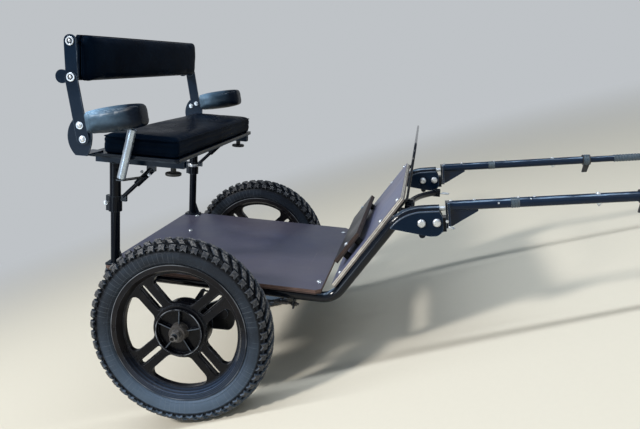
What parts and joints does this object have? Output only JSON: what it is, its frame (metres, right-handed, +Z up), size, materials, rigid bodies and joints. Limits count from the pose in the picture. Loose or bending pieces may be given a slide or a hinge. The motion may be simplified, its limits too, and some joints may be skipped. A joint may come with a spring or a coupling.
{
  "type": "two-wheeled horse-drawn exercise cart",
  "caption": "Two-wheeled horse-drawn cart with shafts, a padded bench seat, a plywood floor and dash, cast wheels on a torsion axle and a swingletree.",
  "frame": {"origin": "on the ground straight under the middle of the axle", "axes": "+X forward to the shaft tips, +Y to the cart's left, +Z up, with the cart parked on its tyres and shaft tips"},
  "size_m": [2.6954, 1.062, 1.2665],
  "materials": {
    "black_paint": "gloss black paint",
    "film_ply": "dark phenolic film on plywood, worn bright at the edges",
    "cast_black": "satin black paint on cast aluminium",
    "tyre_rubber": "matt, knobbly tread",
    "zinc": "zinc plated",
    "black_rubber": "matt",
    "black_plastic": "moulded",
    "black_vinyl": "sewn vinyl",
    "bare_aluminium": "bare drawn tube"
  },
  "bodies": {
    "chassis": {"side_rail_left": "black_paint", "side_rail_right": "black_paint", "trailing_arm_left": "black_paint", "trailing_arm_right": "black_paint", "shaft_bracket_left": "black_paint", "shaft_bracket_right": "black_paint", "shaft_left": "black_paint", "shaft_right": "black_paint", "shaft_tip_left": "black_paint", "shaft_tip_right": "black_paint", "shaft_bushing_left": "black_paint", "shaft_bushing_right": "black_paint", "rear_cross_tube": "black_paint", "front_cross_tube": "black_paint", "dash_cross_tube": "black_paint", "torsion_axle_tube": "black_paint", "axle_hangers": "black_paint", "rein_rail": "black_paint", "swingletree_arm": "black_paint", "seat_posts_lower": "black_paint", "seat_posts_upper": "black_paint", "seat_rails": "black_paint", "seat_braces": "black_paint", "seat_side_plates": "black_paint", "back_uprights_lower": "black_paint", "back_uprights_upper": "black_paint", "back_tube": "black_paint", "whip_holder_arm": "black_paint", "floor_board": "film_ply", "dash_board": "film_ply", "foot_board": "film_ply", "seat_board": "film_ply", "backrest_board": "film_ply", "brake_plates": "cast_black", "axle_nuts": "zinc", "rail_plugs": "zinc", "bracket_bolts": "zinc", "brake_levers": "zinc", "brake_adjusters": "zinc", "brake_cables": "black_rubber", "brake_cable_stays": "black_paint", "post_collars": "black_paint", "tug_stops": "black_plastic", "seat_knobs": "black_plastic", "rail_caps": "black_plastic", "armrest_left": "black_vinyl", "armrest_right": "black_vinyl", "seat_cushion": "black_vinyl", "backrest_cushion": "black_vinyl", "whip_holder": "bare_aluminium"},
    "wheel_left": {"cast_wheel_left": "cast_black", "tyre_left": "tyre_rubber"},
    "wheel_right": {"cast_wheel_right": "cast_black", "tyre_right": "tyre_rubber"},
    "swingletree": {"swingletree": "black_paint", "trace_hooks": "zinc"}
  },
  "joints": [
    {"name": "wheel_left_turn", "type": "hinge", "parent": "chassis", "child": "wheel_left", "pos_m": [0, 0.475, 0.3], "axis": [0, 1, 0], "continuous": true},
    {"name": "wheel_right_turn", "type": "hinge", "parent": "chassis", "child": "wheel_right", "pos_m": [0, -0.475, 0.3], "axis": [0, 1, 0], "continuous": true},
    {"name": "swingletree_pivot", "type": "hinge", "parent": "chassis", "child": "swingletree", "pos_m": [0.75448, 0, 0.41065], "axis": [0.3394, 0, 0.9406], "range_deg": [-18, 18]}
  ]
}
